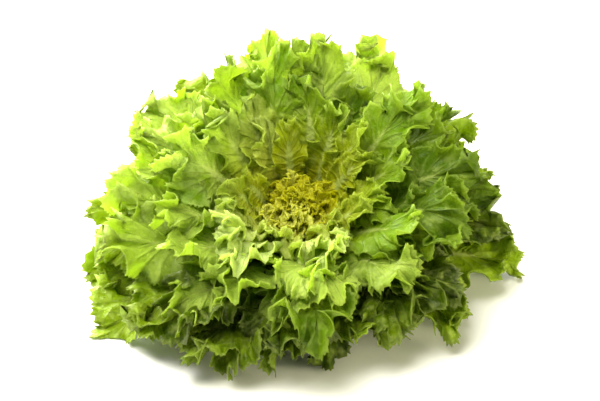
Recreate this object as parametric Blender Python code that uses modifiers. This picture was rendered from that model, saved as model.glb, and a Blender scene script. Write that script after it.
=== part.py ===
"""A head of curly endive, standing on its cut stem with the rosette leaning towards the front.

Metres, +Z up, front towards -Y. The origin is the middle of the cut face, on the surface below it.
The stem was cut level, so it leans while its cut face lies flat. Every leaf grows out of the stem
and follows an arc of its own in a nested family round the leaning axis, so no two leaves cross.
In the rosette's own frame the axis is Z, and a leaf's azimuth is 0 at the front and grows to the right.
"""

import math

import bmesh
import bpy
import numpy as np
from mathutils import Matrix, Vector

# The rosette
LEAN = math.radians(25)
AXIS_START = 0.0165  # from the cut face, along the axis, to the rosette's own origin
LEAF_COUNT = 54
RISES = (math.radians(17), math.radians(68))  # outermost and innermost tips, above level with their bases
LONGEST_CHORD = 0.143  # straight from base to tip, on the outer leaves
SHORTENING = 0.56  # of the inner leaves, so that the heart lies lower than the leaves round it
SHORTENING_RISES = (math.radians(35), math.radians(75))
GOLDEN_ANGLE = math.pi * (3 - math.sqrt(5))
FIRST_AZIMUTH = math.radians(-51)
SEED = 4632

# How the leaves arch
OUTER_HALF_TURN = math.radians(28)
INNER_HALF_TURN = math.radians(8)
TIP_CLEARANCE = 0.006  # between the lowest leaves' tips and the surface below
DROOP_POWER = 1.7  # how fast the leaves' droop fades from the outermost leaf inwards
FLOOR_START = 0.007  # leaf parts below this height are eased towards the surface
FLOOR_GAP = 0.0008

# One leaf. Lengths without a unit are shares of the leaf's length
VEINS_END = 0.72  # where the last vein leaves the midrib
STALK_HALF_WIDTH = 0.036
BLADE_REACH = 0.245
INNER_WIDTH = 0.74  # of the innermost leaves, beside the outermost ones' 1
LOBE_DEPTH = 0.26
RUFFLES = 3.9  # waves on each side of the margin
RUFFLE_STEPS = (3.1, 1.0)  # their height on the outermost and innermost leaves, in steps from leaf to leaf
BLADE_THICKNESS = 0.0008
RIB_THICKNESS = 0.0022
STATIONS = 24  # round the margin, from the left of the stalk to its right
RINGS = 2  # from the midrib to the margin

# How far leaves differ from each other
AZIMUTH_SPREAD = math.radians(4)
LENGTH_SPREAD = 0.07
WIDTH_SPREAD = 0.08
TWIST_SPREAD = 0.5  # rise or fall of the margins, in steps from leaf to leaf
CURL_SPREAD = 0.4  # rise or fall of the tip, in the same steps

# The stem
STEM_RADIUS = 0.0205
STEM_TOP_RADIUS = 0.0140
STEM_TOP = 0.0265
STEM_BOTTOM = -0.034
STEM_SIDES = 32
LEAF_BASES = (-0.003, 0.024)  # heights of the outermost and innermost leaf bases
BASE_GAP = 0.0010

# The heart
HEART_COUNT = 20
HEART_RISES = (math.radians(50), math.radians(84))
HEART_CHORDS = (0.037, 0.024)
HEART_WIDTH = 1.3  # beside the outermost large leaves' 1
HEART_BASES = (0.031, 0.040)
HEART_STATIONS = 12
CORE_RADIUS = 0.0138
CORE_PROFILE = ((0, 0.047), (0.0070, 0.044), (CORE_RADIUS, 0.0273), (0, 0.0273))
CORE_SIDES = 16

ZONES = (  # name, first leaf's number, colour, roughness
    ("outer_leaf", 0, (0.19, 0.33, 0.03), 0.48),
    ("middle_leaf", 20, (0.31, 0.46, 0.06), 0.46),
    ("inner_leaf", 38, (0.52, 0.60, 0.14), 0.44),
)
HEART_COLOUR = (0.72, 0.66, 0.12)
STEM_COLOUR = (0.80, 0.80, 0.58)


def clear_scene():
    for old in list(bpy.data.objects):
        bpy.data.objects.remove(old, do_unlink=True)


def new_collection(name):
    made = bpy.data.collections.new(name)
    bpy.context.scene.collection.children.link(made)
    return made


def finish(name, colour, roughness):
    """A Principled material of that colour."""
    material = bpy.data.materials.new(name)
    material.use_nodes = True
    shader = material.node_tree.nodes["Principled BSDF"]
    shader.inputs["Base Color"].default_value = (*colour, 1)
    shader.inputs["Roughness"].default_value = roughness
    shader.inputs["Metallic"].default_value = 0
    return material


def smooth_step(low, high, x):
    share = np.clip((x - low) / (high - low), 0, 1)
    return share * share * (3 - 2 * share)


def stem_radius(height):
    low, high = LEAF_BASES
    share = np.clip((height - low) / (high - low), 0, 1)
    return STEM_RADIUS + (STEM_TOP_RADIUS - STEM_RADIUS) * share


def mix(ends, share):
    return ends[0] + (ends[1] - ends[0]) * share


class Arch:
    """Arcs from the stem to the tips. share is 0 for the outermost leaf and 1 for the innermost."""

    def __init__(self, share, rise, chord, base_radius, base_height, width):
        self.share = share
        self.rise = rise
        self.chord = chord
        self.base_radius = base_radius
        self.base_height = base_height
        self.width = width
        self.half_turn = mix((OUTER_HALF_TURN, INNER_HALF_TURN), share)
        self.length = chord * self.half_turn / np.sin(self.half_turn)


def rosette_arch(share):
    """The large leaves' arcs, their tips spread evenly over a dome."""
    rise = np.arcsin(mix((math.sin(RISES[0]), math.sin(RISES[1])), share))
    chord = LONGEST_CHORD * (1 - SHORTENING * smooth_step(*SHORTENING_RISES, rise))
    base_height = mix(LEAF_BASES, share)
    width = mix((1, INNER_WIDTH), share)
    return Arch(share, rise, chord, stem_radius(base_height) + BASE_GAP, base_height, width)


def heart_arch(share):
    """The small leaves' arcs, from the core. None of their ruffles reaches out of the outermost arc."""
    share = np.maximum(share, 0)
    rise = mix(HEART_RISES, share)
    base_height = mix(HEART_BASES, share)
    return Arch(1, rise, mix(HEART_CHORDS, share), CORE_RADIUS * 0.4, base_height, HEART_WIDTH)


def lowest_rise(azimuth):
    """The angle of the outermost leaf's chord that brings its tip down to the surface on that side."""
    lowest = rosette_arch(0)
    level = np.arctan(math.tan(LEAN) * np.cos(azimuth))
    start = (AXIS_START + lowest.base_height) * math.cos(LEAN)
    start = start - lowest.base_radius * np.cos(azimuth) * math.sin(LEAN)
    return level - np.arcsin((start - TIP_CLEARANCE) / lowest.chord)


def radius_and_height(arch, along, azimuth):
    """A point that far along an arc.

    The outer leaves are lowered or raised until the leaves fill all of the height on every side, from
    the surface that the head stands on up to the heart.
    """
    droop = rosette_arch(0).rise - lowest_rise(azimuth)
    outwards = np.maximum(1 - arch.share, 0)
    rise = arch.rise - droop * outwards ** np.where(droop > 0, DROOP_POWER, 1)
    progress = along / arch.length
    travelled = along * np.sinc(arch.half_turn * progress / math.pi)
    chord_angle = rise + arch.half_turn * (1 - progress)
    radius = arch.base_radius + travelled * np.cos(chord_angle)
    height = arch.base_height + travelled * np.sin(chord_angle)
    return radius, height


def leaf_outline(around, across, lobes):
    """Flat shape: veins fan out from the midrib. around runs -1..1 round the margin with the tip at 0.

    Returns the place along the midrib and the distance beside it, as shares of the leaf's length.
    """
    t = 1 - np.abs(around)
    root = VEINS_END * (1 - (1 - t) ** 1.5)
    angle = math.pi / 2 * np.cos(math.pi / 2 * t**1.7)
    reach = STALK_HALF_WIDTH + (BLADE_REACH - STALK_HALF_WIDTH) * smooth_step(0.08, 0.66, t)
    reach = reach * (1 + lobes * across)
    return root + reach * across * np.cos(angle), reach * across * np.sin(angle) * np.sign(around)


def to_world(radius, azimuth, height):
    """Rosette cylinder coordinates to the part's frame, kept above the surface that the head stands on."""
    x = radius * np.sin(azimuth)
    front = radius * np.cos(azimuth)
    along_axis = height + AXIS_START
    y = -front * math.cos(LEAN) - along_axis * math.sin(LEAN)
    z = -front * math.sin(LEAN) + along_axis * math.cos(LEAN)
    span = FLOOR_START - FLOOR_GAP
    eased = FLOOR_GAP + span * np.exp(np.minimum(z - FLOOR_START, 0) / span)
    return np.stack([x, y, np.where(z < FLOOR_START, eased, z)], axis=-1)


def traits(number):
    """What sets one leaf apart: the turn of its azimuth, its size, twist, curl and ruffle phase."""
    draw = np.random.RandomState(SEED + number)
    return {
        "turn": AZIMUTH_SPREAD * draw.uniform(-1, 1),
        "length": 1 + LENGTH_SPREAD * draw.uniform(-1, 1),
        "width": 1 + WIDTH_SPREAD * draw.uniform(-1, 1),
        "twist": TWIST_SPREAD * draw.uniform(-1, 1),
        "curl": CURL_SPREAD * draw.uniform(-1, 1),
        "phase": draw.uniform(0, 2 * math.pi),
    }


def leaf_points(family, number, count, azimuth, around, across, lobes):
    """The leaf's surface for its outline's two parameters, in the part's frame.

    A ruffle takes a point onto the arcs that neighbouring leaves would have there, so the ruffles of
    leaves that lie over each other don't meet.
    """
    own = traits(number)
    step = 1 / (count - 1)
    share = np.clip(number * step, 0, 1)
    arch = family(share)
    length = arch.length * own["length"]
    on_blade = smooth_step(0.15, 0.45, 1 - np.abs(around))
    along, beside = leaf_outline(around, across, lobes * on_blade)
    wave = np.sin(2 * math.pi * RUFFLES * around + own["phase"])
    shift = mix(RUFFLE_STEPS, share) * wave * on_blade * across**2
    shift = shift + own["twist"] * np.sign(around) * across * on_blade + own["curl"] * along**3
    along = along * length
    beside = beside * length * own["width"] * arch.width
    middle_radius, _ = radius_and_height(arch, along, azimuth)
    point_azimuth = azimuth + beside / middle_radius
    radius, height = radius_and_height(family(share + shift * step), along, point_azimuth)
    return to_world(radius, point_azimuth, height), along / length


def blade_mesh(name, family, number, count, azimuth, stations):
    """An open grid bent into a leaf, with a vertex group that is 1 on the thick rib and 0 on the blade."""
    grid = bmesh.new()
    bmesh.ops.create_grid(grid, x_segments=stations, y_segments=RINGS, size=1)
    flat = np.array([vertex.co[:] for vertex in grid.verts])
    around = flat[:, 0]
    across = (flat[:, 1] + 1) / 2
    station = np.round((around + 1) / 2 * stations)
    lobes = LOBE_DEPTH * (np.mod(station, 2) - 0.5)
    places, progress = leaf_points(family, number, count, azimuth, around, across, lobes)
    rib = (1 - across) * (1 - smooth_step(0.1, 0.8, progress))
    layer = grid.verts.layers.deform.verify()
    for vertex, place, weight in zip(grid.verts, places, rib):
        vertex.co = place
        vertex[layer][0] = float(weight)
    bmesh.ops.remove_doubles(grid, verts=grid.verts, dist=1e-6)
    bmesh.ops.triangulate(grid, faces=grid.faces)
    mesh = bpy.data.meshes.new(name)
    grid.to_mesh(mesh)
    grid.free()
    mesh.shade_smooth()
    return mesh


def leaf(name, family, number, count, stations, material, collection):
    """A leaf: a thin ruffled blade on a thicker rib."""
    azimuth = FIRST_AZIMUTH + number * GOLDEN_ANGLE + traits(number)["turn"]
    mesh = blade_mesh(name, family, number, count, azimuth, stations)
    made = bpy.data.objects.new(name, mesh)
    collection.objects.link(made)
    made.data.materials.append(material)
    made.vertex_groups.new(name="rib")
    shell = made.modifiers.new("thickness", "SOLIDIFY")
    shell.thickness = RIB_THICKNESS
    shell.offset = 0
    shell.vertex_group = "rib"
    shell.thickness_vertex_group = BLADE_THICKNESS / RIB_THICKNESS
    return made


def rosette_leaves(collection):
    """Leaves at golden-angle steps, outermost first."""
    materials = {zone: finish(zone, colour, rough) for zone, _, colour, rough in ZONES}
    for number in range(LEAF_COUNT):
        zone, first = [(zone, first) for zone, first, _, _ in ZONES if number >= first][-1]
        name = f"{zone}_{number - first + 1:02d}"
        leaf(name, rosette_arch, number, LEAF_COUNT, STATIONS, materials[zone], collection)


def heart(collection):
    """The small leaves of the heart, joined to the core that they grow from."""
    material = finish("heart", HEART_COLOUR, 0.42)
    loose = new_collection("heart_leaves")
    for number in range(HEART_COUNT):
        name = f"heart_{number:02d}"
        leaf(name, heart_arch, number, HEART_COUNT, HEART_STATIONS, material, loose)
    core = turned_solid("heart", CORE_PROFILE, CORE_SIDES)
    collection.objects.link(core)
    core.data.materials.append(material)
    union = core.modifiers.new("leaves", "BOOLEAN")
    union.operation = "UNION"
    union.operand_type = "COLLECTION"
    union.collection = loose
    union.solver = "MANIFOLD"
    apply_modifiers(core)
    for used in list(loose.objects):
        bpy.data.objects.remove(used, do_unlink=True)
    bpy.data.collections.remove(loose)


def turned_solid(name, profile, sides):
    """A profile of (radius, height), top to bottom, turned round the leaning axis."""
    outline = bmesh.new()
    points = [outline.verts.new((radius, 0, height)) for radius, height in profile]
    for upper, lower in zip(points, points[1:]):
        outline.edges.new((upper, lower))
    mesh = bpy.data.meshes.new(name)
    outline.to_mesh(mesh)
    outline.free()
    made = bpy.data.objects.new(name, mesh)
    made.rotation_euler = (LEAN, 0, 0)
    made.location = Matrix.Rotation(LEAN, 3, "X") @ Vector((0, 0, AXIS_START))
    screw = made.modifiers.new("turn", "SCREW")
    screw.steps = screw.render_steps = sides
    screw.use_merge_vertices = True
    screw.merge_threshold = 0.00005
    return made


def apply_modifiers(made):
    """Keeps the evaluated mesh, with no modifiers left."""
    bpy.context.view_layer.update()
    graph = bpy.context.evaluated_depsgraph_get()
    mesh = bpy.data.meshes.new_from_object(made.evaluated_get(graph))
    made.modifiers.clear()
    made.data = mesh


def stem(collection, cutters):
    """The turned stem, cut level by a knife."""
    profile = (
        (0, STEM_TOP),
        (STEM_TOP_RADIUS * 0.75, STEM_TOP - 0.0005),
        (STEM_TOP_RADIUS, LEAF_BASES[1]),
        (STEM_RADIUS, LEAF_BASES[0]),
        (STEM_RADIUS * 0.96, STEM_BOTTOM),
        (0, STEM_BOTTOM),
    )
    made = turned_solid("stem", profile, STEM_SIDES)
    collection.objects.link(made)
    made.data.materials.append(finish("stem", STEM_COLOUR, 0.55))
    bpy.ops.mesh.primitive_cube_add(size=0.2, location=(0, 0, -0.1))
    knife = bpy.context.object
    knife.name = "knife"
    knife.hide_render = True
    knife.display_type = "WIRE"
    for old in list(knife.users_collection):
        old.objects.unlink(knife)
    cutters.objects.link(knife)
    cut = made.modifiers.new("cut", "BOOLEAN")
    cut.operation = "DIFFERENCE"
    cut.object = knife


def main():
    clear_scene()
    head = new_collection("curly_endive_head")
    cutters = new_collection("cutters")
    stem(head, cutters)
    rosette_leaves(head)
    heart(head)


main()
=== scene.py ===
"""A curly endive head: fine ruffled leaves, a frilly heart and a cut stem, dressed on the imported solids."""

import math

import bpy
import numpy as np
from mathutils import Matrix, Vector


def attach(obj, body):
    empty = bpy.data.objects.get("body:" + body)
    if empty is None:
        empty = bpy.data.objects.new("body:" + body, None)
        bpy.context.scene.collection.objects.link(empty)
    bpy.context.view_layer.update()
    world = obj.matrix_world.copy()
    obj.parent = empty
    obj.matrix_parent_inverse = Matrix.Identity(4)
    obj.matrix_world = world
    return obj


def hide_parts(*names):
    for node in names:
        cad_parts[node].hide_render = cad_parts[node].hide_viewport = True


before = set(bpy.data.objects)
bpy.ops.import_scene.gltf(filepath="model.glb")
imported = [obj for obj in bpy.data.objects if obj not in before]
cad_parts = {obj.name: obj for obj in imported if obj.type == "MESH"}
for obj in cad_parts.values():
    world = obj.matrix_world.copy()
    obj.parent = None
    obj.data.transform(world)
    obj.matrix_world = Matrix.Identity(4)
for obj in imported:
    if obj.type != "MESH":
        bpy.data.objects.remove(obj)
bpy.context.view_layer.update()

bl_info = {
    "name": "Curly Endive Head",
    "version": (1, 0, 0),
    "blender": (4, 5, 0),
    "location": "3D View > Sidebar > Endive",
    "description": "Builds the leaves, heart and stem of a curly endive head",
    "category": "Object",
}

# The rosette, in metres and radians, with the values of the part's source
LEAN = math.radians(25)
AXIS_START = 0.0165
LEAF_COUNT = 54
RISES = (math.radians(17), math.radians(68))
LONGEST_CHORD = 0.143
SHORTENING = 0.56
SHORTENING_RISES = (math.radians(35), math.radians(75))
GOLDEN_ANGLE = math.pi * (3 - math.sqrt(5))
FIRST_AZIMUTH = math.radians(-51)
SEED = 4632
OUTER_HALF_TURN = math.radians(28)
INNER_HALF_TURN = math.radians(8)
TIP_CLEARANCE = 0.006  # under the outermost tips
DROOP_POWER = 1.7  # how fast the droop fades from the outermost leaf inwards
FLOOR_START = 0.007  # points below it are eased up
FLOOR_GAP = 0.0008
VEINS_END = 0.72  # where the last vein leaves the midrib, as a share of the leaf's length
STALK_HALF_WIDTH = 0.036
BLADE_REACH = 0.245
INNER_WIDTH = 0.74
RUFFLES = 3.9  # on each side of the margin
RUFFLE_STEPS = (3.1, 1.0)  # their height on the outermost and innermost leaves, in steps from leaf to leaf
AZIMUTH_SPREAD = math.radians(4)
LENGTH_SPREAD = 0.07
WIDTH_SPREAD = 0.08
TWIST_SPREAD = 0.5
CURL_SPREAD = 0.4
STEM_RADIUS = 0.0205
STEM_TOP_RADIUS = 0.0140
LEAF_BASES = (-0.003, 0.024)
BASE_GAP = 0.0010
HEART_CHORDS = (0.037, 0.024)
HEART_WIDTH = 1.3
HEART_BASES = (0.031, 0.040)
CORE_RADIUS = 0.0138

# The zones of large leaves: the first one's number, and how many there are
ZONES = {"outer_leaf": (0, 20), "middle_leaf": (20, 18), "inner_leaf": (38, 16)}

# The fine form: lobes round a margin, teeth to a lobe, stations to a tooth, rings out from the rib
LARGE_GRID = (18, 10, 2, 7)
SMALL_GRID = (14, 9, 2, 6)
BETWEEN_GRID = (16, 9, 2, 6)
SMALL_BETWEEN_GRID = (12, 8, 2, 6)
HEART_GRID = (8, 3, 4, 6)
SPACING_RING = -3  # the ring, third from the edge, along which the stations are spaced evenly

# How a fine leaf lies beside its solid
NODS = (-2.6, 0.6)  # of the tips, in steps from leaf to leaf
TWIST_EXTRA = 2.2  # in the same steps
SWAY = math.radians(7)
BEND = math.radians(9)
BETWEEN_LOOSENESS = 1.7  # beside a large leaf's 1
HEART_LOOSENESS = 2.4

# Large leaves that end short of their solids where the photo's outline lies further in: number and share
SHORTER_LEAVES = {
    1: 0.97, 3: 0.95, 6: 0.94, 9: 0.95, 10: 0.95, 11: 0.95, 14: 0.91, 16: 0.97, 18: 0.97,
    22: 0.89, 23: 0.92, 25: 0.9, 26: 0.94, 30: 0.94,
}

# The leaves between them, smaller but for the inner ones and those after these numbers, out at the outline
BETWEEN_SIZE = 0.82
OUTLINE_LEAVES = (2, 5, 10, 12, 15, 16, 18, 22, 23, 26, 28, 30, 32, 34, 36)
BETWEEN_NUMBERS = 300  # added for their traits' draws

HEART_LEAVES = 38
HEART_RISES = (math.radians(50), math.radians(91))  # steeper than the solid's, so that the heart closes
HEART_BASE_SHARES = (0.4, 0.24)  # of the core's radius
HEART_RIB = 0.0012

BLANCHED_ENDS = (0.4, 1.9)  # on the outermost and innermost leaves, as shares of their length
SIDE_VEINS = 24  # of a leaf

# The photo's view and its even light
CAMERA_ELEVATION = math.radians(33)
CAMERA_TARGET = Vector((0, -0.020, 0.062))
CAMERA_DISTANCE = 1.3
FRAME_WIDTH = 0.42  # metres across the picture at the target
SENSOR_WIDTH = 36
WORLD_LIGHT = 0.16


def linear(colour):
    """The linear values of a colour written as sRGB hex: c / 12.92, or ((c + 0.055) / 1.055) ** 2.4."""
    shares = [int(colour[k : k + 2], 16) / 255 for k in (1, 3, 5)]
    return [c / 12.92 if c <= 0.04045 else ((c + 0.055) / 1.055) ** 2.4 for c in shares]


def colour_property(name, description, colour):
    """A colour that a user may change, its default given as sRGB hex."""
    return bpy.props.FloatVectorProperty(
        name=name, description=description, default=linear(colour), subtype="COLOR", min=0, max=1
    )


class EndiveSizes(bpy.types.PropertyGroup):
    """Thicknesses of a leaf and depths of its margin's forms"""

    blade_thickness: bpy.props.FloatProperty(
        name="Blade thickness", description="Thickness of a leaf's blade", default=0.0005, unit="LENGTH"
    )
    rib_thickness: bpy.props.FloatProperty(
        name="Rib thickness",
        description="Thickness of a large leaf's rib at its base",
        default=0.0026,
        unit="LENGTH",
    )
    sinus_depth: bpy.props.FloatProperty(
        name="Sinus depth",
        description="How deep the margin is cut between lobes, as a share of the blade's reach",
        default=0.18,
    )
    tooth_depth: bpy.props.FloatProperty(
        name="Tooth depth", description="Length of a tooth as a share of the blade's reach", default=0.11
    )
    frill_height: bpy.props.FloatProperty(
        name="Frill height",
        description="Height of the small ruffles beside the large ones",
        default=0.3,
    )
    frill_turn: bpy.props.FloatProperty(
        name="Frill turn",
        description="How far the margin's frills turn up and down",
        default=math.radians(54),
        subtype="ANGLE",
    )
    crumple_height: bpy.props.FloatProperty(
        name="Crumple height",
        description="Height of the blade's crumples beside its ruffles",
        default=0.4,
    )
    margin_curl: bpy.props.FloatProperty(
        name="Margin curl",
        description="How far the margin rolls over",
        default=math.radians(66),
        subtype="ANGLE",
    )


class EndiveColours(bpy.types.PropertyGroup):
    """Colours of the leaves' zones, their blanched parts, the stem and the floor"""

    # Each zone's blade and light colours are mixed by painted light and shade, lighter where the lamps fall
    # and darker in shade, and by mottling
    outer_blade: colour_property("Outer blade", "Deep green of the outermost leaves", "#1e3400")
    outer_light: colour_property("Outer blade, light", "Lighter green that some of them have", "#90ac10")
    middle_blade: colour_property("Middle blade", "Bright green of the middle leaves", "#426400")
    middle_light: colour_property("Middle blade, light", "Lighter green that some of them have", "#c4da5c")
    inner_blade: colour_property("Inner blade", "Yellow-green of the inner leaves", "#709800")
    inner_light: colour_property("Inner blade, light", "Paler yellow-green that some have", "#dcec90")
    # The heart's paler yellow is mixed in by painted light, paler at its front, and by mottling
    heart_blade: colour_property("Heart", "Yellow of the blanched heart", "#c8c406")
    heart_light: colour_property("Heart, light", "Paler yellow of its tips", "#f2f478")
    base: colour_property("Blanched base", "Yellow of the inner leaves' bases", "#c0be06")
    pale_base: colour_property("Pale base", "Yellow-green of the other leaves' bases", "#a8b824")
    rib: colour_property("Rib", "Pale green-white of ribs and leaf bases", "#cfdb7c")
    stem: colour_property("Stem", "Cream of the cut stem", "#dcd6b0")
    floor: colour_property("Floor", "Pale matt floor", "#f4f3ef")


def smooth_step(low, high, x):
    """0 up to low, 1 from high, and between them 3 s^2 - 2 s^3 of the share s of the way."""
    share = np.clip((x - low) / (high - low), 0, 1)
    return share * share * (3 - 2 * share)


def mix(ends, share):
    """The first end at share 0 and the second at share 1, on a straight line."""
    return ends[0] + (ends[1] - ends[0]) * share


def stem_radius(height):
    """The stem narrows evenly over the heights of the leaf bases."""
    low, high = LEAF_BASES
    share = np.clip((height - low) / (high - low), 0, 1)
    return mix((STEM_RADIUS, STEM_TOP_RADIUS), share)


class Arch:
    """Arcs from the stem to the tips. share is 0 for the outermost leaf and 1 for the innermost.

    An arc turns by half_turn on each side of its chord, so its length is chord * half_turn / sin(half_turn).
    """

    def __init__(self, share, rise, chord, base_radius, base_height, width):
        self.share = share
        self.rise = rise
        self.chord = chord
        self.base_radius = base_radius
        self.base_height = base_height
        self.width = width
        self.half_turn = mix((OUTER_HALF_TURN, INNER_HALF_TURN), share)
        self.length = chord * self.half_turn / np.sin(self.half_turn)


def rosette_arch(share):
    """The large leaves' arcs. The sines of their rises are evenly spaced, so the tips cover a dome evenly."""
    rise = np.arcsin(mix((math.sin(RISES[0]), math.sin(RISES[1])), share))
    chord = LONGEST_CHORD * (1 - SHORTENING * smooth_step(*SHORTENING_RISES, rise))
    base_height = mix(LEAF_BASES, share)
    width = mix((1, INNER_WIDTH), share)
    return Arch(share, rise, chord, stem_radius(base_height) + BASE_GAP, base_height, width)


def heart_arch(share):
    """The small leaves' arcs, from the core."""
    share = np.maximum(share, 0)
    rise = mix(HEART_RISES, share)
    base_radius = CORE_RADIUS * mix(HEART_BASE_SHARES, np.minimum(share, 1))
    return Arch(1, rise, mix(HEART_CHORDS, share), base_radius, mix(HEART_BASES, share), HEART_WIDTH)


def lowest_rise(azimuth):
    """The angle of the outermost leaf's chord that brings its tip down to the surface on that side."""
    lowest = rosette_arch(0)
    level = np.arctan(math.tan(LEAN) * np.cos(azimuth))
    start = (AXIS_START + lowest.base_height) * math.cos(LEAN)
    start = start - lowest.base_radius * np.cos(azimuth) * math.sin(LEAN)
    return level - np.arcsin((start - TIP_CLEARANCE) / lowest.chord)


def radius_and_height(arch, along, azimuth):
    """A point that far along an arc, with the arcs lowered or raised to reach the floor on every side.

    It lies at the end of the chord to it, along * sin(t) / t long for t = half_turn * progress, which rises
    by half_turn * (1 - progress) more than the whole chord.
    """
    droop = rosette_arch(0).rise - lowest_rise(azimuth)
    outwards = np.maximum(1 - arch.share, 0)
    rise = arch.rise - droop * outwards ** np.where(droop > 0, DROOP_POWER, 1)
    progress = along / arch.length
    travelled = along * np.sinc(arch.half_turn * progress / math.pi)
    chord_angle = rise + arch.half_turn * (1 - progress)
    radius = arch.base_radius + travelled * np.cos(chord_angle)
    height = arch.base_height + travelled * np.sin(chord_angle)
    return radius, height


def leaf_outline(around, across, lobes):
    """Flat shape: veins fan out from the midrib. around runs -1..1 round the margin with the tip at 0.

    A vein starts at root on the midrib and runs at angle to it, from square at the base to straight on at the
    tip. across is the share of its reach, which swells from the stalk's half width to the blade's.
    """
    t = 1 - np.abs(around)
    root = VEINS_END * (1 - (1 - t) ** 1.5)
    angle = math.pi / 2 * np.cos(math.pi / 2 * t**1.7)
    reach = STALK_HALF_WIDTH + (BLADE_REACH - STALK_HALF_WIDTH) * smooth_step(0.08, 0.66, t)
    reach = reach * (1 + lobes * across)
    return root + reach * across * np.cos(angle), reach * across * np.sin(angle) * np.sign(around)


def to_world(radius, azimuth, height):
    """Rosette cylinder coordinates, azimuth 0 at the front, to the part's frame: turned about x by LEAN."""
    x = radius * np.sin(azimuth)
    front = radius * np.cos(azimuth)
    along_axis = height + AXIS_START
    y = -front * math.cos(LEAN) - along_axis * math.sin(LEAN)
    z = -front * math.sin(LEAN) + along_axis * math.cos(LEAN)
    return np.stack([x, y, z], axis=-1)


def above_floor(points):
    """Points under FLOOR_START are eased up: gap + span * exp((z - start) / span), where span is start - gap.

    z - start is 0 at most in the exponential, so that points high up don't overflow it.
    """
    z = points[..., 2]
    span = FLOOR_START - FLOOR_GAP
    eased = FLOOR_GAP + span * np.exp(np.minimum(z - FLOOR_START, 0) / span)
    lifted = points.copy()
    lifted[..., 2] = np.where(z < FLOOR_START, eased, z)
    return lifted


def traits(number):
    """What sets one leaf apart, drawn in the part source's order."""
    draw = np.random.RandomState(SEED + number)
    return {
        "turn": AZIMUTH_SPREAD * draw.uniform(-1, 1),
        "length": 1 + LENGTH_SPREAD * draw.uniform(-1, 1),
        "width": 1 + WIDTH_SPREAD * draw.uniform(-1, 1),
        "twist": TWIST_SPREAD * draw.uniform(-1, 1),
        "curl": CURL_SPREAD * draw.uniform(-1, 1),
        "phase": draw.uniform(0, 2 * math.pi),
    }


def waves(draw, place, cycles):
    """A sum of sines of place with those cycles, seeded phases and strengths, about -1..1."""
    total = 0
    for count in cycles:
        strength = draw.uniform(0.6, 1)
        total = total + strength * np.sin(2 * math.pi * count * place + draw.uniform(0, 2 * math.pi))
    return total / math.sqrt(len(cycles))


def crumples(draw, place, across):
    """Waves that cross on the blade: seeded sines of place and across together, the finer ones lower."""
    total = 0
    for cycles in (2, 3, 4, 5, 7, 9, 11, 13):
        slant = draw.choice((-1, 1)) * draw.uniform(0.5, 1) * min(2.2, 0.5 * cycles)
        phase = 2 * math.pi * (cycles * draw.uniform(0.85, 1.15) * place + slant * across)
        total = total + np.sin(phase + draw.uniform(0, 2 * math.pi)) * 2 / (1 + cycles / 6)
    return total / 2


def habit(number, looseness):
    """How a fine leaf lies beside its solid: its nod, extra twist, sway and bend to one side, all seeded."""
    draw = np.random.RandomState(SEED * 5 + number)
    shares = np.array([draw.uniform(*NODS), *(draw.uniform(-1, 1, 3) * (TWIST_EXTRA, SWAY, BEND))])
    return looseness * shares


def leaf_points(family, order, number, count, manner, azimuth, around, across, lobes, frill):
    """The leaf's surface: its flat shape laid along its arc, and round the axis by beside / radius.

    Ruffles (a sine round the margin times across squared), frills, twist and curl shift a point to the arcs
    that leaves further in or out would have there. order is the leaf's place, 0 outermost, and number the one
    that its traits are drawn from. manner is its size and what habit returns.
    """
    own = traits(number)
    size, nod, extra_twist, _, bend = manner
    step = 1 / (count - 1)
    share = np.clip(order * step, 0, 1)
    arch = family(share)
    length = arch.length * own["length"] * size
    on_blade = smooth_step(0.15, 0.45, 1 - np.abs(around))
    along, beside = leaf_outline(around, across, lobes * on_blade)
    wave = np.sin(2 * math.pi * RUFFLES * around + own["phase"])
    height = mix(RUFFLE_STEPS, share) * on_blade
    shift = height * (wave * across**2 + frill)
    twist = own["twist"] + extra_twist
    shift = shift + twist * np.sign(around) * across * on_blade + (own["curl"] + nod) * along**3
    along = along * length
    beside = beside * length * own["width"] * arch.width
    middle_radius, _ = radius_and_height(arch, along, azimuth)
    point_azimuth = azimuth + bend * (along / length) ** 2 + beside / middle_radius
    radius, height = radius_and_height(family(share + shift * step), along, point_azimuth)
    return to_world(radius, point_azimuth, height), along / length


def turned_about(steps, axes, angles):
    """Steps turned about unit axes: s cos a + (k x s) sin a + k (k . s) (1 - cos a)."""
    cosine, sine = np.cos(angles)[..., None], np.sin(angles)[..., None]
    level = (axes * steps).sum(-1, keepdims=True)
    return steps * cosine + np.cross(axes, steps) * sine + axes * level * (1 - cosine)


def rolled(points, guide, angles):
    """Rolls the margin: each step outwards from the rib is turned about the margin's own direction."""
    margin = np.gradient(guide, axis=1)
    margin = margin / np.maximum(np.linalg.norm(margin, axis=-1, keepdims=True), 1e-9)
    steps = turned_about(np.diff(points, axis=0), margin[1:], angles[1:])
    return np.concatenate([points[:1], points[:1] + np.cumsum(steps, axis=0)])


def even_places(place):
    """The values of around at places, -1..1, that are measured as lengths along the flat margin."""
    around = np.linspace(-1, 1, 2001)
    along, beside = leaf_outline(around, 1.0, 0.0)
    walked = np.concatenate([[0], np.cumsum(np.hypot(np.diff(along), np.diff(beside)))])
    return np.interp((place + 1) / 2 * walked[-1], walked, around)


def respaced(margin, place):
    """The places moved so that the ruffled margin's points lie evenly spaced on each side of the tip."""
    walked = np.concatenate([[0], np.cumsum(np.linalg.norm(np.diff(margin, axis=0), axis=1))])
    half = len(place) // 2
    even = np.interp(np.arange(len(place)), (0, half, len(place) - 1), walked[[0, half, -1]])
    return np.interp(even, walked, place)


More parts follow.
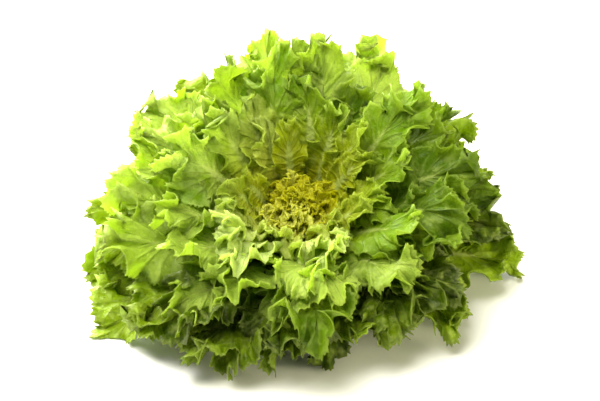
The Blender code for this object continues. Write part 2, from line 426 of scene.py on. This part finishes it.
def margin_profile(draw, place, lobes, teeth, sizes):
    """How far the margin stands out, as shares of the blade's reach: the lobes, and the teeth on them.

    The lobes are |sin| to the power 0.6, which leaves narrow sinuses, times a depth drawn for each. The teeth
    are a saw of seeded strengths: each rises over its stations and drops at once, on the side of the tip.
    """
    stations = len(place) - 1
    phase = lobes / 2 * place + 0.3 * waves(draw, place, (1.7, 3.1))
    lobe = np.abs(np.sin(math.pi * phase)) ** 0.6
    depth = 1.7 * np.interp(place, np.linspace(-1, 1, lobes + 1), draw.uniform(0, 1, lobes + 1) ** 1.6)
    cut = sizes.sinus_depth * depth * (lobe - 1)
    per_tooth = stations // (lobes * teeth)
    from_base = np.minimum(np.arange(stations + 1), np.arange(stations + 1)[::-1])
    strength = draw.uniform(0.2, 1.6, stations // per_tooth + 1)
    tooth = (from_base % per_tooth + 1) / per_tooth * strength[np.arange(stations + 1) // per_tooth]
    return 0.05 + cut, sizes.tooth_depth * (tooth - 0.5)


def leaf_form(family, order, number, count, manner, azimuth, place, grid, sizes):
    """A leaf's points for those places round its margin, in rings out from its rib, closer near the margin.

    The surface gets lobes, teeth, frills and crumples, and then each ring's step outwards is turned about the
    margin: by a slow curl over the outer part, and by quick frills next to the edge.
    """
    lobes, teeth, _, rings = grid
    draw = np.random.RandomState(SEED * 3 + number)
    drift = waves(draw, place, (1, 2, 3))
    warp = 0.02 * (drift - drift[len(place) // 2]) * (1 - place**2)
    even = np.linspace(0, 1, rings + 1)[:, None]
    across = (0.45 * even + 0.55 * np.sin(math.pi / 2 * even)) * np.ones(len(place))
    around = np.clip(even_places(place) + warp, -1, 1) * np.ones_like(across)
    lobe, tooth = margin_profile(draw, place, lobes, teeth, sizes)
    profile = lobe + tooth * across**7
    coarse = place * mix((1, 0.6), np.clip(order / (count - 1), 0, 1))
    frill = sizes.frill_height * waves(draw, coarse, (4.8, 7.8)) * across**3.5
    frill = frill + sizes.crumple_height * crumples(draw, coarse, across) * across
    placed = (family, order, number, count, manner, azimuth, around, across)
    points, progress = leaf_points(*placed, profile, frill)
    guide, _ = leaf_points(*placed, 0.0, frill)
    on_blade = smooth_step(0.2, 0.5, 1 - np.abs(around))
    curl = sizes.margin_curl * (waves(draw, place, (1.3, 2.6, 4.4)) + draw.uniform(-0.5, 0.4))
    frills = sizes.frill_turn * waves(draw, coarse, (6, 9, 14))
    angles = curl * smooth_step(0.4, 1.05, across) + frills * smooth_step(0.5, 1.0, across)
    return above_floor(rolled(points, guide, angles * on_blade)), progress, across


def leaf_mesh(name, family, order, number, count, size, looseness, grid, sizes):
    """One leaf's surface as a mesh, and its rib's weights. A first pass shows how the places have to lie."""
    lobes, teeth, per_tooth, _ = grid
    manner = (size, *habit(number, looseness))
    azimuth = FIRST_AZIMUTH + order * GOLDEN_ANGLE + traits(number)["turn"] + manner[3]
    place = np.linspace(-1, 1, lobes * teeth * per_tooth + 1)
    form = (family, order, number, count, manner, azimuth)
    first, _, _ = leaf_form(*form, place, grid, sizes)
    points, progress, across = leaf_form(*form, respaced(first[SPACING_RING], place), grid, sizes)
    share = np.clip(order / (count - 1), 0, 1)
    blanched = 1 - smooth_step(0.05, mix(BLANCHED_ENDS, share**5), progress)
    # Painted light and shade for where the leaf sits round the head, with a seeded tone
    painted_light_and_tone = painted_light_and_shade(number, azimuth, family(share).share)
    return grid_mesh(name, points, progress, across, blanched, painted_light_and_tone)


def painted_light_and_shade(number, azimuth, zone):
    """Painted light and shade on a leaf's green, 0..1, after the photo: lightest at the back left, darkest
    front right.

    The inner leaves are painted lighter in front and darker behind, the outermost ones lighter on the right
    and the others darker there. A seeded share is added, a tone that differs at random.
    """
    front, right = max(math.cos(azimuth), 0), max(math.sin(azimuth), 0)
    shift = smooth_step(0.4, 0.8, zone) * (1.7 * front - 0.75)
    shift = shift + (1 - smooth_step(0.15, 0.35, zone)) * 0.45 * right
    shift = shift - smooth_step(0.3, 0.45, zone) * 0.25 * right
    chance = np.random.RandomState(SEED * 7 + number).uniform(-0.35, 0.35)
    return np.clip(0.5 - 0.45 * math.sin(azimuth + 0.8) + shift + chance, 0, 1)


def grid_mesh(name, points, progress, across, blanched, painted_light_and_tone):
    """The mesh of a leaf's grid: rows go out from the rib, and the first row is folded together along it.

    Its UV map runs round the margin and out from the rib, and blanched and the leaf's painted light and
    shade, with a seeded tone, are attributes.
    """
    rows, columns = across.shape
    half = columns // 2
    index = np.arange(rows * columns).reshape(rows, columns)
    index[0, half + 1 :] = index[0, half - 1 :: -1][:half]
    used, index = np.unique(index, return_inverse=True)
    index = index.reshape(rows, columns)
    corners = np.stack([index[:-1, :-1], index[:-1, 1:], index[1:, 1:], index[1:, :-1]], axis=-1)
    u = np.linspace(0, 1, columns) * np.ones_like(across)
    flat = np.stack([u, across], axis=-1)
    corner_flat = np.stack([flat[:-1, :-1], flat[:-1, 1:], flat[1:, 1:], flat[1:, :-1]], axis=2)
    mesh = bpy.data.meshes.new(name)
    mesh.from_pydata(points.reshape(-1, 3)[used], [], corners.reshape(-1, 4))
    mesh.uv_layers.new(name="leaf").data.foreach_set("uv", corner_flat.astype(np.float32).ravel())
    for label, values in (("blanched", blanched.reshape(-1)[used]), ("painted_light_and_tone", np.full(len(used), painted_light_and_tone))):
        layer = mesh.attributes.new(label, "FLOAT", "POINT")
        layer.data.foreach_set("value", values.astype(np.float32))
    mesh.shade_smooth()
    rib = (1 - across) ** 3 * (1 - smooth_step(0.1, 0.95, progress))
    return mesh, rib.reshape(-1)[used]


def shelled(name, mesh, rib, sizes, rib_thickness, material):
    """The object of a leaf, thickened to both sides by Solidify, thicker along the rib."""
    made = bpy.data.objects.new(name, mesh)
    bpy.context.scene.collection.objects.link(made)
    mesh.materials.append(material)
    group = made.vertex_groups.new(name="rib")
    for vertex, weight in enumerate(rib):
        group.add([vertex], float(weight), "REPLACE")
    shell = made.modifiers.new("thickness", "SOLIDIFY")
    shell.thickness = rib_thickness
    shell.offset = 0
    shell.vertex_group = "rib"
    shell.thickness_vertex_group = sizes.blade_thickness / rib_thickness
    return made


def joined(name, objects):
    """One object of all of them, with their modifiers applied."""
    depsgraph = bpy.context.evaluated_depsgraph_get()
    for made in objects:
        mesh = bpy.data.meshes.new_from_object(made.evaluated_get(depsgraph))
        made.modifiers.clear()
        made.data = mesh
    first = objects[0]
    with bpy.context.temp_override(active_object=first, object=first, selected_editable_objects=objects):
        bpy.ops.object.join()
    first.name = first.data.name = name
    return first


def add_node(tree, kind, inputs=(), **settings):
    """Adds a node, sets its fields, and links each input that is given a socket or else sets its value."""
    node = tree.nodes.new("ShaderNode" + kind)
    for field, value in settings.items():
        setattr(node, field, value)
    for key, value in dict(inputs).items():
        if isinstance(value, bpy.types.NodeSocket):
            tree.links.new(value, node.inputs[key])
        else:
            node.inputs[key].default_value = value
    return node


def new_material(name):
    """A material whose node tree is empty, and that tree."""
    material = bpy.data.materials.new(name)
    material.use_nodes = True
    material.node_tree.nodes.clear()
    return material, material.node_tree


def blade_material(name, blade, light, base, rib, through, glow_share):
    """Fresh endive leaf: thin moist tissue with a waxy skin, grown in puckers between its veins.

    To the eye it is satin, glows yellow-green with the light behind it, and is pale at its base, rib and
    veins, with a thin light edge. Its green carries painted light and shade, and its bulges a painted
    whitish sheen.
    """
    material, tree = new_material(name)
    place = add_node(tree, "SeparateXYZ", {0: add_node(tree, "UVMap", uv_map="leaf").outputs[0]}).outputs
    blanched = add_node(tree, "Attribute", attribute_name="blanched").outputs["Fac"]
    painted_light_and_tone = add_node(tree, "Attribute", attribute_name="painted_light_and_tone").outputs["Fac"]
    point = add_node(tree, "TexCoord").outputs["Object"]

    # Side veins: the distance to the nearest, as a share of the margin's 0.33 m, shrinks towards the rib with
    # the veins' fan. On a large leaf a vein is full to 0.3 mm from its middle and gone at 1.5 mm
    half_gap = 0.5 / SIDE_VEINS
    nearest = add_node(tree, "Math", {0: place[0], 1: half_gap}, operation="PINGPONG").outputs[0]
    spread = add_node(tree, "Math", {0: nearest, 1: place[1]}, operation="MULTIPLY").outputs[0]
    side_vein = add_node(
        tree,
        "MapRange",
        {"Value": spread, "From Min": 0.0008, "From Max": 0.0045, "To Min": 1, "To Max": 0},
    ).outputs[0]
    # The net between them, about 3 mm a cell, its straight sides bent by noise
    bend = add_node(tree, "TexNoise", {"Vector": point, "Scale": 240, "Detail": 2}).outputs["Color"]
    wandering = add_node(
        tree, "VectorMath", {0: bend, 1: (0.003, 0.003, 0.003), 2: point}, operation="MULTIPLY_ADD"
    ).outputs[0]
    net = add_node(
        tree, "TexVoronoi", {"Vector": wandering, "Scale": 300}, feature="DISTANCE_TO_EDGE"
    ).outputs["Distance"]
    net_vein = add_node(
        tree, "MapRange", {"Value": net, "From Min": 0, "From Max": 0.16, "To Min": 0.25, "To Max": 0}
    ).outputs[0]
    veins = add_node(tree, "Math", {0: side_vein, 1: net_vein}, operation="MAXIMUM").outputs[0]

    # Mottling, about 12 mm a patch and finer, added to the leaf's painted light and shade; together they pick
    # between the blade's dark and light greens
    mottle = add_node(
        tree, "TexNoise", {"Vector": point, "Scale": 85, "Detail": 5, "Roughness": 0.7}
    ).outputs[0]
    shade = add_node(tree, "Math", {0: painted_light_and_tone, 1: 0.7, 2: mottle}, operation="MULTIPLY_ADD").outputs[0]
    shade_share = add_node(tree, "MapRange", {"Value": shade, "From Min": 0.48, "From Max": 1.1}).outputs[0]
    green = add_node(
        tree, "Mix", {0: shade_share, 6: (*blade, 1), 7: (*light, 1)}, data_type="RGBA"
    ).outputs[2]

    # The base is blanched, and the midrib and the very edge are pale
    green = add_node(tree, "Mix", {0: blanched, 6: green, 7: (*base, 1)}, data_type="RGBA").outputs[2]
    from_rib = add_node(
        tree, "Math", {0: blanched, 1: -0.2, 2: place[1]}, operation="MULTIPLY_ADD"
    ).outputs[0]
    midrib = add_node(
        tree,
        "MapRange",
        {"Value": from_rib, "From Min": 0.02, "From Max": 0.13, "To Min": 0.75, "To Max": 0},
    ).outputs[0]
    edge = add_node(
        tree, "MapRange", {"Value": place[1], "From Min": 0.93, "From Max": 1, "To Min": 0, "To Max": 0.22}
    ).outputs[0]
    vein_share = add_node(tree, "Math", {0: veins, 1: 0.12}, operation="MULTIPLY").outputs[0]
    # Between veins the blade is puckered, about 7 mm a pucker, with a painted whitish sheen where it bulges
    pucker = add_node(tree, "TexNoise", {"Vector": point, "Scale": 150, "Detail": 4}).outputs[0]
    painted_sheen_on_bulges = add_node(
        tree, "MapRange", {"Value": pucker, "From Min": 0.5, "From Max": 0.75, "To Min": 0, "To Max": 0.4}
    ).outputs[0]
    # Pale veins, midrib and edge, with the painted sheen on the bulges
    pale_and_sheen = add_node(tree, "Math", {0: vein_share, 1: midrib}, operation="MAXIMUM").outputs[0]
    pale_and_sheen = add_node(tree, "Math", {0: pale_and_sheen, 1: edge}, operation="MAXIMUM").outputs[0]
    pale_and_sheen = add_node(tree, "Math", {0: pale_and_sheen, 1: painted_sheen_on_bulges}, operation="MAXIMUM", use_clamp=True).outputs[0]
    colour = add_node(tree, "Mix", {0: pale_and_sheen, 6: green, 7: (*rib, 1)}, data_type="RGBA").outputs[2]

    # Veins and puckers stand proud of the blade
    height = add_node(tree, "Math", {0: veins, 1: 0.25, 2: pucker}, operation="MULTIPLY_ADD").outputs[0]
    bump = add_node(tree, "Bump", {"Height": height, "Strength": 0.9, "Distance": 0.0036}).outputs[0]
    surface = add_node(
        tree,
        "BsdfPrincipled",
        {
            "Base Color": colour, "Normal": bump, "Roughness": 0.34, "IOR": 1.42, "Specular IOR Level": 0.4,
            "Specular Tint": (0.85, 1, 0.2, 1), "Coat Weight": 0.1, "Coat Roughness": 0.18,
        },
    ).outputs[0]
    glow_colour = add_node(
        tree, "Mix", {0: 0.75, 6: colour, 7: (*through, 1)}, data_type="RGBA"
    ).outputs[2]
    glow = add_node(tree, "BsdfTranslucent", {"Color": glow_colour, "Normal": bump}).outputs[0]
    blend = add_node(tree, "MixShader", {0: glow_share, 1: surface, 2: glow}).outputs[0]
    add_node(tree, "OutputMaterial", {"Surface": blend})
    return material


def stem_material(colour):
    """Cut endive stem: moist cream pith, browned where the cut has dried, with faint fibres."""
    material, tree = new_material("cut_endive_stem")
    point = add_node(tree, "TexCoord").outputs["Object"]
    fibres = add_node(
        tree, "TexNoise", {"Vector": point, "Scale": 420, "Detail": 5, "Roughness": 0.7}
    ).outputs[0]
    stains = add_node(tree, "TexNoise", {"Vector": point, "Scale": 110, "Detail": 3}).outputs[0]
    low = add_node(tree, "SeparateXYZ", {0: point}).outputs[2]
    near_cut = add_node(
        tree, "MapRange", {"Value": low, "From Min": 0, "From Max": 0.004, "To Min": 0.75, "To Max": 0.1}
    ).outputs[0]
    browned = add_node(
        tree, "Math", {0: near_cut, 1: stains}, operation="MULTIPLY", use_clamp=True
    ).outputs[0]
    cream = add_node(
        tree, "Mix", {0: fibres, 6: (*colour, 1), 7: (*linear("#c9c893"), 1)}, data_type="RGBA"
    ).outputs[2]
    skin = add_node(
        tree, "Mix", {0: browned, 6: cream, 7: (*linear("#8a6a3c"), 1)}, data_type="RGBA"
    ).outputs[2]
    bump = add_node(tree, "Bump", {"Height": fibres, "Strength": 0.5, "Distance": 0.0006}).outputs[0]
    surface = add_node(
        tree, "BsdfPrincipled", {"Base Color": skin, "Normal": bump, "Roughness": 0.5, "IOR": 1.42}
    ).outputs[0]
    add_node(tree, "OutputMaterial", {"Surface": surface})
    return material


def floor_material(colour):
    """Matt painted board: pale, with a very faint roller texture."""
    material, tree = new_material("matt_painted_board")
    point = add_node(tree, "TexCoord").outputs["Object"]
    roller = add_node(tree, "TexNoise", {"Vector": point, "Scale": 300, "Detail": 2}).outputs[0]
    tint = add_node(
        tree, "Mix", {0: roller, 6: (*colour, 1), 7: (*[0.97 * c for c in colour], 1)}, data_type="RGBA"
    ).outputs[2]
    surface = add_node(tree, "BsdfPrincipled", {"Base Color": tint, "Roughness": 0.85}).outputs[0]
    add_node(tree, "OutputMaterial", {"Surface": surface})
    return material


def large_leaves(zone, material, grid):
    """The leaves of one zone, each replacing its own node."""
    sizes = bpy.context.scene.endive_sizes
    first, count = ZONES[zone]
    for number in range(first, first + count):
        name = f"{zone}_{number - first + 1:02d}"
        placed = (rosette_arch, number, number, LEAF_COUNT, SHORTER_LEAVES.get(number, 1), 1)
        mesh, rib = leaf_mesh(name + "_blade", *placed, grid, sizes)
        piece = shelled(name + "_blade", mesh, rib, sizes, sizes.rib_thickness, material)
        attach(piece, "root")
        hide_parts(name)


def between_leaves(zone, material, grid):
    """Leaves half a step after each node's own leaf but the very last, as the photographed head is fuller."""
    sizes = bpy.context.scene.endive_sizes
    first, count = ZONES[zone]
    for number in range(first, min(first + count, LEAF_COUNT - 1)):
        name = f"{zone}_between_{number - first + 1:02d}"
        size = 1 if number in OUTLINE_LEAVES or zone == "inner_leaf" else BETWEEN_SIZE
        order, drawn = number + 0.5, BETWEEN_NUMBERS + number
        placed = (rosette_arch, order, drawn, LEAF_COUNT, size, BETWEEN_LOOSENESS)
        mesh, rib = leaf_mesh(name, *placed, grid, sizes)
        piece = shelled(name, mesh, rib, sizes, sizes.rib_thickness, material)
        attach(piece, "root")


class ENDIVE_OT_outer_leaves(bpy.types.Operator):
    """Builds the outer leaves, deep green"""

    bl_idname = "endive.outer_leaves"
    bl_label = "Outer leaves"

    def execute(self, context):
        colours = context.scene.endive_colours
        material = blade_material(
            "fresh_endive_outer",
            colours.outer_blade,
            colours.outer_light,
            colours.pale_base,
            colours.rib,
            through=linear("#b4cc40"),
            glow_share=0.42,
        )
        large_leaves("outer_leaf", material, LARGE_GRID)
        between_leaves("outer_leaf", material, BETWEEN_GRID)
        return {"FINISHED"}


class ENDIVE_OT_middle_leaves(bpy.types.Operator):
    """Builds the middle leaves, bright green"""

    bl_idname = "endive.middle_leaves"
    bl_label = "Middle leaves"

    def execute(self, context):
        colours = context.scene.endive_colours
        material = blade_material(
            "fresh_endive_middle",
            colours.middle_blade,
            colours.middle_light,
            colours.pale_base,
            colours.rib,
            through=linear("#cce060"),
            glow_share=0.6,
        )
        large_leaves("middle_leaf", material, LARGE_GRID)
        between_leaves("middle_leaf", material, BETWEEN_GRID)
        return {"FINISHED"}


class ENDIVE_OT_inner_leaves(bpy.types.Operator):
    """Builds the inner leaves, pale yellow-green"""

    bl_idname = "endive.inner_leaves"
    bl_label = "Inner leaves"

    def execute(self, context):
        colours = context.scene.endive_colours
        material = blade_material(
            "fresh_endive_inner",
            colours.inner_blade,
            colours.inner_light,
            colours.base,
            colours.rib,
            through=linear("#dcea84"),
            glow_share=0.6,
        )
        large_leaves("inner_leaf", material, SMALL_GRID)
        between_leaves("inner_leaf", material, SMALL_BETWEEN_GRID)
        return {"FINISHED"}


class ENDIVE_OT_heart(bpy.types.Operator):
    """Builds the frilly heart from many small leaves in one piece"""

    bl_idname = "endive.heart"
    bl_label = "Heart"

    def execute(self, context):
        sizes = context.scene.endive_sizes
        colours = context.scene.endive_colours
        material = blade_material(
            "blanched_endive_heart",
            colours.heart_blade,
            colours.heart_light,
            colours.base,
            rib=linear("#e2e460"),
            through=linear("#f2f224"),
            glow_share=0.6,
        )
        leaves = []
        for number in range(HEART_LEAVES):
            name = f"heart_leaf_{number + 1:02d}"
            placed = (heart_arch, number, number, HEART_LEAVES, 1, HEART_LOOSENESS)
            mesh, rib = leaf_mesh(name, *placed, HEART_GRID, sizes)
            leaves.append(shelled(name, mesh, rib, sizes, HEART_RIB, material))
        piece = joined("heart_leaves", leaves)
        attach(piece, "root")
        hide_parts("heart")
        return {"FINISHED"}


class ENDIVE_OT_stem(bpy.types.Operator):
    """Gives the stem its cut surface"""

    bl_idname = "endive.stem"
    bl_label = "Stem"

    def execute(self, context):
        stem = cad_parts["stem"]
        stem.material_slots[0].material = stem_material(context.scene.endive_colours.stem)
        return {"FINISHED"}


class ENDIVE_OT_stage(bpy.types.Operator):
    """Adds the pale floor, the soft studio light and the camera at the photo's angle"""

    bl_idname = "endive.stage"
    bl_label = "Stage"

    def execute(self, context):
        scene = context.scene
        mesh = bpy.data.meshes.new("floor")
        side = np.array([-3.0, 3.0])
        corners = np.stack([side[[0, 1, 1, 0]], side[[0, 0, 1, 1]], np.zeros(4)], axis=-1)
        mesh.from_pydata(corners, [], [(0, 1, 2, 3)])
        floor = bpy.data.objects.new("floor", mesh)
        scene.collection.objects.link(floor)
        mesh.materials.append(floor_material(scene.endive_colours.floor))

        add_light("key", (-0.98, 0.88, 0.63), 0.9, 88, (1, 0.99, 0.92))
        add_light("top", (-0.35, -0.3, 1.35), 0.9, 39, (1, 0.98, 0.92))
        add_light("rim", (-0.1, 1.25, 0.75), 0.6, 26, (1, 0.99, 0.95))
        add_light("fill", (1.15, -0.55, 0.4), 0.6, 16, (1, 0.95, 0.6))
        world = bpy.data.worlds.new("studio")
        world.use_nodes = True
        background = world.node_tree.nodes["Background"].inputs
        background["Color"].default_value = (1, 1, 1, 1)
        background["Strength"].default_value = WORLD_LIGHT
        scene.world = world
        scene.view_settings.view_transform = "Standard"

        camera = bpy.data.cameras.new("photo_view")
        camera.sensor_width = SENSOR_WIDTH
        camera.lens = SENSOR_WIDTH * CAMERA_DISTANCE / FRAME_WIDTH
        holder = bpy.data.objects.new("photo_view", camera)
        back = Vector((0, -math.cos(CAMERA_ELEVATION), math.sin(CAMERA_ELEVATION)))
        holder.location = CAMERA_TARGET + back * CAMERA_DISTANCE
        holder.rotation_euler = back.to_track_quat("Z", "Y").to_euler()
        scene.collection.objects.link(holder)
        scene.camera = holder
        return {"FINISHED"}


def add_light(name, place, size, watts, colour):
    """A square soft light that faces the head."""
    lamp = bpy.data.lights.new(name, "AREA")
    lamp.size = size
    lamp.energy = watts
    lamp.color = colour
    made = bpy.data.objects.new(name, lamp)
    made.location = place
    made.rotation_euler = (Vector(place) - CAMERA_TARGET).to_track_quat("Z", "Y").to_euler()
    bpy.context.scene.collection.objects.link(made)


class ENDIVE_PT_panel(bpy.types.Panel):
    """Lists the steps, and the sizes and colours that they read"""

    bl_label = "Curly endive head"
    bl_idname = "ENDIVE_PT_panel"
    bl_space_type = "VIEW_3D"
    bl_region_type = "UI"
    bl_category = "Endive"

    def draw(self, context):
        for operator in OPERATORS:
            self.layout.operator(operator.bl_idname)
        for group in (context.scene.endive_sizes, context.scene.endive_colours):
            for name in group.__annotations__:
                self.layout.prop(group, name)


OPERATORS = (
    ENDIVE_OT_outer_leaves,
    ENDIVE_OT_middle_leaves,
    ENDIVE_OT_inner_leaves,
    ENDIVE_OT_heart,
    ENDIVE_OT_stem,
    ENDIVE_OT_stage,
)
CLASSES = (EndiveSizes, EndiveColours, *OPERATORS, ENDIVE_PT_panel)


def register():
    for listed in CLASSES:
        bpy.utils.register_class(listed)
    bpy.types.Scene.endive_sizes = bpy.props.PointerProperty(type=EndiveSizes)
    bpy.types.Scene.endive_colours = bpy.props.PointerProperty(type=EndiveColours)


def unregister():
    del bpy.types.Scene.endive_colours
    del bpy.types.Scene.endive_sizes
    for listed in reversed(CLASSES):
        bpy.utils.unregister_class(listed)


def main():
    """Builds the head and its stage."""
    register()
    bpy.ops.endive.outer_leaves()
    bpy.ops.endive.middle_leaves()
    bpy.ops.endive.inner_leaves()
    bpy.ops.endive.heart()
    bpy.ops.endive.stem()
    bpy.ops.endive.stage()


if __name__ == "__main__":
    main()
